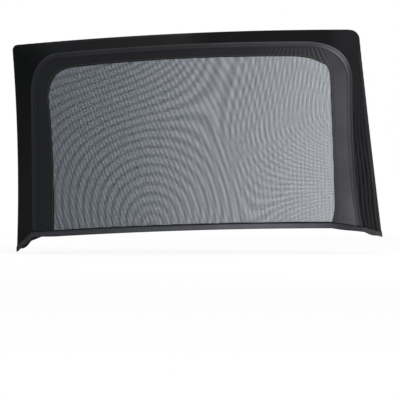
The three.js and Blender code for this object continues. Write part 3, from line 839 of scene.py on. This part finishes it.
def hemLoop():
    # the hem's upper edge, once around, with how far the wall leans for each millimetre of height
    ridge, edge = alongWall(0)
    rows = wallRows(ridge, edge, 0.0, 30, 18)

    def side(end, after):
        ridgeLean = (ridge[after, 0] - ridge[end, 0]) / (ridge[after, 1] - ridge[end, 1])
        edgeLean = (edge[after, 0] - edge[end, 0]) / (edge[after, 1] - edge[end, 1])
        share = (rows[end, :, 0] - ridge[end, 0]) / (edge[end, 0] - ridge[end, 0])
        return rows[end], ridgeLean + (edgeLean - ridgeLean) * np.minimum(1, share)

    def face(path, y):
        flat = resampled(path, 330)[1:-1]
        return toSpace(flat, np.full(len(flat), y))

    front, frontLean = side(0, 1)
    rear, rearLean = side(-1, -2)
    cabin = face(cabinHem, cabinY(0))
    street = face(streetHem, streetY(0))[::-1]
    points = np.concatenate([cabin, rear, street, front[::-1]])
    leans = np.concatenate([np.zeros(len(cabin)), rearLean, np.zeros(len(street)), frontLean[::-1]])
    return points, leans


def hemOutward(points):
    way = np.roll(points[:, :2], -1, axis=0) - points[:, :2]
    way /= np.linalg.norm(way, axis=1, keepdims=True)
    turn = np.stack([way[:, 1], -way[:, 0]], axis=1)
    out = turn + np.roll(turn, 1, axis=0)
    return out * 2 / (out ** 2).sum(axis=1, keepdims=True)


def hemRing(spots):
    # rings of points around the mouth for a closed profile of (outside, up) spots
    points, leans = hemLoop()
    out = hemOutward(points)
    length = lengthAlong(points)
    wave = np.sin(2 * math.pi * length / folds["gather"])
    wave = wave + 0.5 * np.sin(2 * math.pi * length / folds["fineGather"] + 1)
    # the fold hangs a little deeper along the cabin face
    x = points[:, 0]
    middle = softened((x - ridgeFrontHem[0]) / 60) * softened((ridgeRearHem[0] - x) / 60)
    sag = 1 + hem["sag"] * middle * (points[:, 1] < 0)
    rings = []
    for outside, up in spots:
        gathered = math.sin(math.pi * min(1, max(0, -up / hem["height"])))
        push = outside + wave * folds["gatherHeight"] * gathered
        y = points[:, 1] + out[:, 1] * push
        rings.append(np.stack([x + out[:, 0] * push + leans * up, y, points[:, 2] + up * sag], axis=1))
    return np.stack(rings, axis=1)


channelOut = section["clearance"]
channelIn = -(2 * section["cloth"] + 2 * section["clearance"])


hemShade = {  # tones of the hem's tape along the cabin face, matched to the photograph, as shares of its colour
    "even": 1.4, "pale": 1.0, "paleX": 160, "paleWidth": 150,
    "rearDark": 0.68, "darkFrom": 300, "darkLength": 70,
    "paintedShadowLine": 0.06, "shadowLineWidth": 2.8, "shadowLineFade": 0.8,  # a painted shadow: a nearly black line along the tape's upper edge
}


def hemTone(rings, depths):
    # paler about its middle, darker at the rear end, with a painted shadow line along its upper edge
    shade = hemShade
    x = rings[..., 0]
    cabinTone = shade["even"] + shade["pale"] * bump(x - shade["paleX"], shade["paleWidth"])
    cabinTone = cabinTone - shade["rearDark"] * softened((x - shade["darkFrom"]) / shade["darkLength"])
    along = np.where(rings[..., 1] < 0, cabinTone, 1)
    below = shade["shadowLineWidth"] + shade["shadowLineFade"]
    paintedShadowLine = np.interp(depths, [shade["shadowLineWidth"], below], [shade["paintedShadowLine"], 1.0])
    return paintedShadowLine * along


def makeHem():
    cloth = section["cloth"]
    outerX = channelOut + cloth
    innerX = channelIn - cloth
    middle = (outerX + innerX) / 2
    half = (outerX - innerX) / 2
    heights = [0, -1.3, -2.6, -4, -6, -8, -11]
    turnZ = half - hem["height"]
    angles = np.linspace(0, math.pi, 9)
    turn = [(middle + half * math.cos(a), turnZ - half * math.sin(a)) for a in angles]
    outer = [(outerX, up) for up in heights] + turn + [(innerX, up) for up in reversed(heights)]
    halfIn = half - cloth
    turnIn = [(middle + halfIn * math.cos(a), turnZ - halfIn * math.sin(a)) for a in angles[::-1]]
    inner = [(channelIn, up) for up in heights] + turnIn + [(channelOut, up) for up in reversed(heights)]
    rings = hemRing(outer + inner)
    piece = loft("hemCasing", placed(rings), closed=True)
    setTone(piece, hemTone(rings, np.array([-up for _, up in outer + inner])[None, :]))
    return dress(piece, hemCloth, "hem_casing")


hemCasing = makeHem()


# Sewing, as separate stitches placed along a seam line by Geometry Nodes

stitching = {
    "pitch": 3.2, "length": 2.3, "radius": 0.42, "sides": 6,
    "band": 3.5, "hem": 3.0,  # how far a row runs from the field's edge and from the hem's
    "aboveHem": 1.0,
}


def stitchMesh():
    # a short thread with rounded ends, lying along Z
    half = stitching["length"] / 2
    radius = stitching["radius"]
    sides = stitching["sides"]
    shoulder = half - radius * 0.6
    rings = [(-half, 0.35), (-shoulder, 0.85), (0, 1.0), (shoulder, 0.85), (half, 0.35)]
    angles = [2 * math.pi * k / sides for k in range(sides)]
    points = [
        (share * radius * math.cos(a) * mm, share * radius * math.sin(a) * mm, z * mm)
        for z, share in rings for a in angles
    ]
    faces = []
    for ring in range(len(rings) - 1):
        for k in range(sides):
            a, b = ring * sides + k, ring * sides + (k + 1) % sides
            faces.append([a, b, b + sides, a + sides])
    faces.append(list(range(sides))[::-1])
    faces.append([(len(rings) - 1) * sides + k for k in range(sides)])
    piece = newMesh("oneStitch", points, faces)
    piece.hide_render = True
    return piece


def newTree(name, inputs, made):
    # a Geometry Nodes tree from lines to a mesh, with its named inputs
    tree = bpy.data.node_groups.new(name, "GeometryNodeTree")
    for label, kind in {"Lines": "Geometry", **inputs}.items():
        tree.interface.new_socket(label, in_out="INPUT", socket_type="NodeSocket" + kind)
    tree.interface.new_socket(made, in_out="OUTPUT", socket_type="NodeSocketGeometry")
    return tree, addNode(tree, "NodeGroupInput")


def endTree(tree, source, material):
    real = addNode(tree, "GeometryNodeRealizeInstances", links={"Geometry": source})
    dressed = addNode(tree, "GeometryNodeSetMaterial", {
        "Material": material,
    }, {"Geometry": real.outputs["Geometry"]})
    addNode(tree, "NodeGroupOutput", links={0: dressed.outputs["Geometry"]})
    return tree


def stitchTree(name, material):
    tree, given = newTree(name, {"Stitch": "Object", "Stitch Pitch": "Float"}, "Stitches")
    curves = addNode(tree, "GeometryNodeMeshToCurve", links={"Mesh": given.outputs["Lines"]})
    spaced = addNode(tree, "GeometryNodeCurveToPoints", {"mode": "LENGTH"}, {
        "Curve": curves.outputs["Curve"], "Length": given.outputs["Stitch Pitch"],
    })
    tangent = addNode(tree, "FunctionNodeAlignRotationToVector", {
        "axis": "Z",
    }, {"Vector": spaced.outputs["Tangent"]})
    source = addNode(tree, "GeometryNodeObjectInfo", links={"Object": given.outputs["Stitch"]})
    placedStitches = addNode(tree, "GeometryNodeInstanceOnPoints", links={
        "Points": spaced.outputs["Points"], "Instance": source.outputs["Geometry"],
        "Rotation": tangent.outputs["Rotation"],
    })
    return endTree(tree, placedStitches.outputs["Instances"], material)


def wireObject(name, points, edges):
    mesh = bpy.data.meshes.new(name)
    mesh.from_pydata([tuple(p) for p in points], edges, [])
    piece = bpy.data.objects.new(name, mesh)
    bpy.context.scene.collection.objects.link(piece)
    return piece


def makeStitches(name, node, line, closed=False):
    points = placed(line)
    edges = [(k, k + 1) for k in range(len(points) - 1)]
    if closed:
        edges.append((len(points) - 1, 0))
    piece = wireObject(name, points, edges)
    applied(piece, stitches, {"Stitch": oneStitch, "Stitch Pitch": stitching["pitch"] * mm})
    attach(piece, "root")
    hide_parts(node)
    print(name, len(piece.data.polygons), "faces")
    return piece


def bandLine():
    path = lowered(sampled(fieldStretches(stitching["band"])), cabinHem, stitching["aboveHem"])
    lift = section["clearance"] + 0.3
    return toSpace(path, cabinY(path[:, 1]) - lift)


def bindingLine():
    ridge, edge = alongWall(section["clearance"])
    width, out = acrossWall(ridge, edge)
    across = width - section["edgeRadius"] + binding["overlap"] - binding["width"] / 2
    flat = lowered(ridge + out * across[:, None], streetHem, stitching["aboveHem"])
    lift = 2 * section["clearance"] + section["cloth"] + 0.1
    return toSpace(flat, streetY(flat[:, 1]) + lift)


def hemLine():
    points, leans = hemLoop()
    out = hemOutward(points)
    outside = channelOut + section["cloth"] + 0.25
    x = points[:, 0] + out[:, 0] * outside - leans * stitching["hem"]
    y = points[:, 1] + out[:, 1] * outside
    return np.stack([x, y, points[:, 2] - stitching["hem"]], axis=1)


oneStitch = stitchMesh()
stitches = stitchTree("seamStitches", sewingThread)
bandStitches = makeStitches("bandStitches", "band_thread", bandLine())
bindingStitches = makeStitches("bindingStitches", "binding_thread", bindingLine())
hemStitches = makeStitches("hemStitches", "hem_thread", hemLine(), closed=True)
bpy.data.objects.remove(oneStitch)

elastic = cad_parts["hem_elastic"]
elastic.data.materials.clear()
elastic.data.materials.append(elasticBraid)


# the camera, and the width that it takes in at the shade
view = {"distance": 6000.0, "centreX": 5.0, "centreZ": 136.0, "width": 1040.0}


# The two nets: threads swept along lines by Geometry Nodes

net = {
    # thread to thread; a real net's are about 1.2, drawn coarser so that each still holds its own here
    "pitch": 2.1,
    "flatness": 0.3,  # thickness of a thread, as a share of its width
    # thread width as a share of the pitch, at four places from the front to the rear; a real net's are
    # even, and here they thin out so that the field grows paler to the rear as in the photograph
    "widthsAt": (-380, -190, -20, 350),
    "cabin": (0.69, 0.635, 0.515, 0.375),
    "streetUpright": (0.20, 0.20, 0.19, 0.11),
    "streetLevel": (0.17, 0.17, 0.16, 0.15),
    "streetFlatness": 2.0,
    "segment": 14.0, "sample": 1.5,
    "fieldX": (-406, 376), "fieldZ": (44, 524), "threadsX": (-480, 460), "threadsZ": (-60, 560),
    "crossing": 0.1,  # how far apart the upright and level threads lie
    "cabinLap": 10.0, "streetLap": 15.0,  # behind the band
    # drift of the street net against the cabin one, which is what draws the arcs
    "domeX": -120.0, "domeZ": 60.0, "ring": 18.0,
    "shearFrom": 260.0, "shearX": -260.0, "shear": 1.18e-5, "climb": 0.35,
    "twistX": 80.0, "twistZ": 100.0, "twist": 0.007,
    "rowsX": 150.0, "rowsZ": 330.0, "rows": 0.0065,
    "beat": 7.0, "beatLean": 0.35, "leanFrom": -150.0, "leanLength": 400.0,
    "eye": 3000.0,  # the arcs are drawn as they look to an eye at this distance
}


def sweepTree(name, material):
    tree, given = newTree(name, {"Thread Width": "Float", "Thread Height": "Float"}, "Threads")
    curves = addNode(tree, "GeometryNodeMeshToCurve", links={"Mesh": given.outputs["Lines"]})
    facing, width = (
        addNode(tree, "GeometryNodeInputNamedAttribute", {"data_type": kind, "Name": label})
        for kind, label in (("FLOAT_VECTOR", "facing"), ("FLOAT", "width"))
    )
    turned = addNode(tree, "GeometryNodeSetCurveNormal", {"mode": "FREE"}, {
        "Curve": curves.outputs["Curve"], "Normal": facing.outputs["Attribute"],
    })
    profile = addNode(tree, "GeometryNodeCurvePrimitiveQuadrilateral", links={
        "Width": given.outputs["Thread Height"], "Height": given.outputs["Thread Width"],
    })
    swept = addNode(tree, "GeometryNodeCurveToMesh", {"Fill Caps": True}, {
        "Curve": turned.outputs["Curve"], "Profile Curve": profile.outputs["Curve"],
        "Scale": width.outputs["Attribute"],
    })
    return endTree(tree, swept.outputs["Mesh"], material)


def lineObject(name, lines, facings, widths):
    points = np.concatenate(lines)
    edges = []
    start = 0
    for line in lines:
        edges += [(start + k, start + k + 1) for k in range(len(line) - 1)]
        start += len(line)
    piece = wireObject(name, points, edges)
    facing = piece.data.attributes.new("facing", "FLOAT_VECTOR", "POINT")
    facing.data.foreach_set("vector", np.concatenate(facings).ravel())
    width = piece.data.attributes.new("width", "FLOAT", "POINT")
    width.data.foreach_set("value", np.concatenate(widths))
    return piece


def insideOutline(outlinePoints, points):
    x, z = points[:, 0], points[:, 1]
    inside = np.zeros(len(points), bool)
    for (ax, az), (bx, bz) in zip(outlinePoints, np.roll(outlinePoints, -1, axis=0)):
        if az == bz:
            continue
        crosses = (az > z) != (bz > z)
        inside ^= crosses & (x < ax + (z - az) / (bz - az) * (bx - ax))
    return inside


def runsOf(inside):
    edges = np.flatnonzero(np.diff(np.concatenate([[0], inside.astype(int), [0]])))
    return [(a, b) for a, b in zip(edges[::2], edges[1::2]) if b - a > 2]


def netLines(hemPath, faceY, inward, duties, lap, driftUpright, driftLevel):
    # upright and level threads, cut to the field and its lap under the band
    pitch = net["pitch"]
    stretches = [resampled(path, 24) for path in fieldStretches(lap)]
    upper = joined(*stretches)
    hemX = hemPath[:, 0]
    lower = hemPath[(hemX > upper[0, 0]) & (hemX < upper[-1, 0])][::-1] - [0, hem["lap"]]
    border = np.concatenate([upper, resampled(lower, 40)])
    depth = section["cloth"] * 1.5 + section["clearance"]
    fineX = np.arange(*net["fieldX"], net["sample"])
    fineZ = np.arange(*net["fieldZ"], net["sample"])
    lines, facings, widths = [], [], []

    def keep(flat, offset, duty):
        for start, end in runsOf(insideOutline(border, flat)):
            part = flat[start:end]
            length = np.linalg.norm(part[-1] - part[0])
            part = resampled(part, max(2, int(round(length / net["segment"])) + 1))
            y = faceY(part[:, 1]) + inward * (depth + offset)
            lines.append(placed(toSpace(part, y)))
            facings.append(np.tile([0.0, -1.0, 0.0], (len(part), 1)))
            widths.append(np.interp(part[:, 0], net["widthsAt"], duty))

    for k in range(*[int(x / pitch) for x in net["threadsX"]]):
        x = k * pitch + driftUpright(k * pitch, fineZ)
        keep(np.stack([x, fineZ], axis=1), net["crossing"], duties[0])
    for k in range(*[int(z / pitch) for z in net["threadsZ"]]):
        z = k * pitch + driftLevel(fineX, k * pitch)
        keep(np.stack([fineX, z], axis=1), -net["crossing"], duties[1])
    return lines, facings, widths


def noDrift(x, z):
    return 0.0 * x * z


def towardsEye(place, centre, z):
    # the street net is drawn smaller by what an eye nearer than the camera would see
    gap = depthAt(z) - 3
    smaller = net["eye"] / (net["eye"] + gap) * (view["distance"] + gap) / view["distance"]
    return (place - centre) * (smaller - 1)


def beatUpright(x, z):
    # the upright threads slip by one pitch for each beat, along lines that lean less towards the rear
    lean = net["beatLean"] * (1 - softened((x - net["leanFrom"]) / net["leanLength"]))
    slip = (x + lean * z) * net["pitch"] / net["beat"]
    return slip + towardsEye(x + slip, view["centreX"], z)


def softPart(distance, width=25.0):
    # grows from zero to the distance itself without a corner
    return width * np.logaddexp(0, np.asarray(distance, float) / width)


def beatLevel(x, z):
    # the level threads slip by one pitch for each ring: a dome, sheared above, twisted at the rear
    dome = np.hypot(x - net["domeX"], z - net["domeZ"])
    above = softPart(z - net["shearFrom"])
    sheared = above * (net["climb"] - net["shear"] * (x - net["shearX"]) ** 2)
    twisted = net["twist"] * softPart(x - net["twistX"]) * (z - net["twistZ"])
    rows = net["rows"] * softPart(x - net["rowsX"]) * (z - net["rowsZ"])
    slip = (dome + sheared + twisted + rows) * net["pitch"] / net["ring"]
    return slip + towardsEye(z + slip, view["centreZ"], z)


def makeNet(name, node, face, duties, lap, flatness, driftUpright, driftLevel):
    faceY, inward, hemPath = face
    lines, facings, widths = netLines(hemPath, faceY, inward, duties, lap, driftUpright, driftLevel)
    piece = lineObject(name, lines, facings, widths)
    pitch = net["pitch"] * mm
    applied(piece, netTree, {"Thread Width": pitch, "Thread Height": pitch * flatness})
    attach(piece, "root")
    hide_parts(node)
    triangles = sum(len(polygon.vertices) - 2 for polygon in piece.data.polygons)
    print(name, len(lines), "threads", triangles, "triangles")
    return piece


netTree = sweepTree("netThreads", netThread)
cabinNet = makeNet(
    "cabinNet", "cabin_net", cabinFace, (net["cabin"], net["cabin"]), net["cabinLap"], net["flatness"],
    noDrift, noDrift,
)
streetNet = makeNet(
    "streetNet", "street_net", streetFace, (net["streetUpright"], net["streetLevel"]), net["streetLap"],
    net["streetFlatness"], beatUpright, beatLevel,
)
# Camera, lights and surroundings

def addCamera():
    data = bpy.data.cameras.new("camera")
    data.sensor_width = 36
    data.lens = data.sensor_width * view["distance"] / view["width"]
    camera = bpy.data.objects.new("camera", data)
    bpy.context.scene.collection.objects.link(camera)
    frontY = -section["hemDepth"] / 2
    camera.location = placed([view["centreX"], frontY - view["distance"], view["centreZ"]])
    camera.rotation_euler = (math.radians(90), 0, 0)
    bpy.context.scene.camera = camera


lights = {  # place, what it is turned to and size in metres, power in watts
    "keyFromRear": ((1.7, -1.6, 1.2), (0.1, 0, 0.3), (1.0, 1.0), 34),
    "topSoft": ((-0.2, -0.8, 2.0), (0, 0, 0.3), (1.6, 0.8), 14),
    "fromStreet": ((-1.8, 2.2, 1.5), (0, 0, 0.3), (1.6, 1.2), 24),
}


def addAreaLight(name, place, target, size, watts):
    data = bpy.data.lights.new(name, "AREA")
    data.shape = "RECTANGLE"
    data.size, data.size_y = size
    data.energy = watts
    light = bpy.data.objects.new(name, data)
    bpy.context.scene.collection.objects.link(light)
    light.location = place
    light.rotation_euler = (Vector(target) - Vector(place)).to_track_quat("-Z", "Y").to_euler()


def addWorld():
    world = bpy.data.worlds.new("studio")
    world.use_nodes = True
    tree = world.node_tree
    tree.nodes.clear()
    # eyes, gloss and glass see white; the shade itself is lit at a plain level
    path = addNode(tree, "ShaderNodeLightPath")
    seen = path.outputs["Is Camera Ray"]
    for ray in ("Is Glossy Ray", "Is Transmission Ray"):
        either = addNode(tree, "ShaderNodeMath", {"operation": "MAXIMUM"}, {0: seen, 1: path.outputs[ray]})
        seen = either.outputs[0]
    lightLevel = addNode(tree, "ShaderNodeBackground", {"Color": (1, 1, 1, 1), "Strength": 0.45})
    backdrop = addNode(tree, "ShaderNodeBackground", {"Color": (1, 1, 1, 1), "Strength": 1.0})
    mix = addNode(tree, "ShaderNodeMixShader", links={
        0: seen, 1: lightLevel.outputs[0], 2: backdrop.outputs[0],
    })
    addNode(tree, "ShaderNodeOutputWorld", links={"Surface": mix.outputs[0]})
    bpy.context.scene.world = world


ground = {  # metres; near the shade it keeps its shadow, and farther off it turns plain white
    "size": 20.0, "drop": 0.004, "nearWhite": 0.86, "whiteFrom": 0.6, "whiteTo": 4.0,
}


def addFloor():
    size, drop = ground["size"], ground["drop"]
    corners = ((-size, -size), (size, -size), (size, size), (-size, size))
    floor = newMesh("floor", [(x, y, -drop) for x, y in corners], [[0, 1, 2, 3]], smooth=False)
    material, tree = newMaterial("paleFloor")
    path = addNode(tree, "ShaderNodeLightPath")
    matt = addNode(tree, "ShaderNodeBsdfDiffuse", {"Color": (1, 1, 1, 1)})
    white = addNode(tree, "ShaderNodeEmission", {"Color": (1, 1, 1, 1), "Strength": 1.0})
    place = addNode(tree, "ShaderNodeTexCoord").outputs["Object"]
    away = addNode(tree, "ShaderNodeVectorMath", {"operation": "LENGTH"}, {0: place})
    whiteness = addNode(tree, "ShaderNodeMapRange", {
        "From Min": ground["whiteFrom"], "From Max": ground["whiteTo"],
        "To Min": ground["nearWhite"], "To Max": 1.0,
    }, {"Value": away.outputs["Value"]})
    share = addNode(tree, "ShaderNodeMath", {"operation": "MULTIPLY"}, {
        0: path.outputs["Is Camera Ray"], 1: whiteness.outputs[0],
    })
    mix = addNode(tree, "ShaderNodeMixShader", links={
        0: share.outputs[0], 1: matt.outputs[0], 2: white.outputs[0],
    })
    addNode(tree, "ShaderNodeOutputMaterial", links={"Surface": mix.outputs[0]})
    floor.data.materials.append(material)


addCamera()
addWorld()
addFloor()
for lightName, light in lights.items():
    addAreaLight(lightName, *light)
bpy.context.scene.view_settings.view_transform = "Standard"
print("camera, lights and floor ready")
